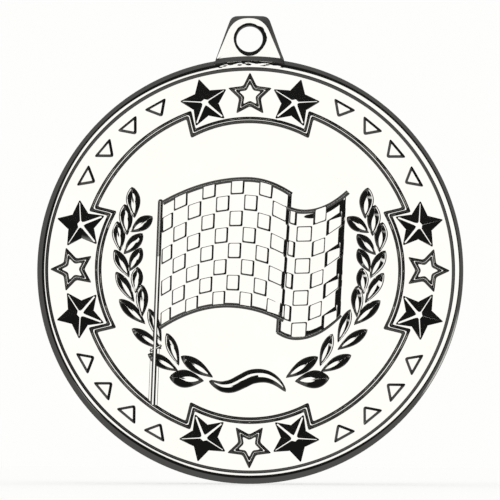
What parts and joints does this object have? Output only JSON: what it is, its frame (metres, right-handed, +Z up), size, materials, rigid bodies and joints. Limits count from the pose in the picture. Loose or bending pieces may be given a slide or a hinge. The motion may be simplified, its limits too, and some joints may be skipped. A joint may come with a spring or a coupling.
{
  "type": "medal",
  "caption": "Round struck metal medal with a raised rim, a border of stars and triangles and a chequered flag in a laurel wreath, hung from a pierced lug.",
  "frame": {"origin": "centre of the disc, on the flat of its back", "axes": "+Y out of the back, so the face looks along -Y; +Z up through the lug; +X to the right as the face is seen"},
  "size_m": [0.05, 0.0025, 0.055],
  "materials": {
    "disc_nickel": "polished bright nickel plate",
    "lug_nickel": "polished bright nickel plate, a little duller"
  },
  "bodies": {
    "root": {"medal_disc": "disc_nickel", "suspension_lug": "lug_nickel"}
  },
  "joints": []
}
